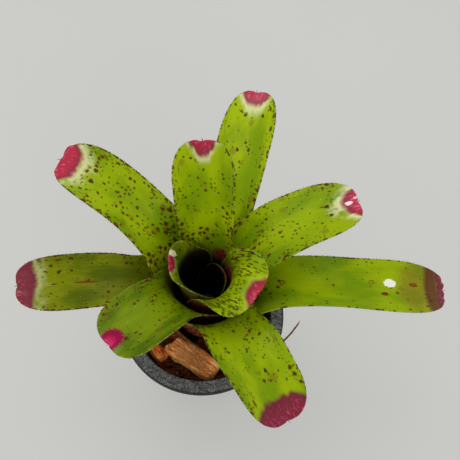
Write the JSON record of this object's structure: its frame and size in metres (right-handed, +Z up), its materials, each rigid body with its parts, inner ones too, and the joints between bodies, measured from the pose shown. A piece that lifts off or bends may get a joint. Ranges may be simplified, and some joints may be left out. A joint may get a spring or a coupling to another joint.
{
  "type": "potted bromeliad",
  "caption": "Funnel-shaped rosette of spotted strap leaves with crimson tips, in a black nursery pot filled with coconut husk chunks.",
  "frame": {"origin": "centre of the pot's underside, on the pot's own axis", "axes": "+Z up along the pot's axis; -Y is the front, the side that the camera faces; +X is to the right as seen from the front"},
  "size_m": [0.2674, 0.2056, 0.2417],
  "materials": {
    "leaf": "waxy, glossy yellow-green with maroon spots and crimson tips",
    "stem_tissue": "dull, fibrous",
    "husk": "rough, fibrous",
    "husk_dark": "rough, fibrous, damp",
    "pot_plastic": "moulded, satin, slightly dusty"
  },
  "bodies": {
    "root": {"nursery_pot": "pot_plastic", "husk_bed": "husk_dark", "stem": "stem_tissue", "outer_leaf_left": "leaf", "outer_leaf_right": "leaf", "outer_leaf_back": "leaf", "outer_leaf_front": "leaf", "middle_leaf_back_left": "leaf", "middle_leaf_back_right": "leaf", "middle_leaf_front_left": "leaf", "upright_leaf": "leaf", "heart_leaf_right": "leaf", "heart_leaf_left": "leaf", "heart_leaf_inner": "leaf", "husk_chunk_front": "husk", "husk_chunk_dark": "husk_dark", "husk_chunk_left": "husk", "husk_chunk_right": "husk", "husk_chunk_01": "husk", "husk_chunk_02": "husk", "husk_chunk_03": "husk", "husk_chunk_04": "husk", "husk_chunk_05": "husk", "husk_chunk_06": "husk", "husk_chunk_07": "husk", "husk_chunk_08": "husk", "husk_chunk_09": "husk", "husk_chunk_10": "husk", "husk_chunk_11": "husk", "husk_chunk_12": "husk", "husk_chunk_13": "husk", "husk_chunk_14": "husk", "husk_fibre": "husk_dark"}
  },
  "joints": []
}
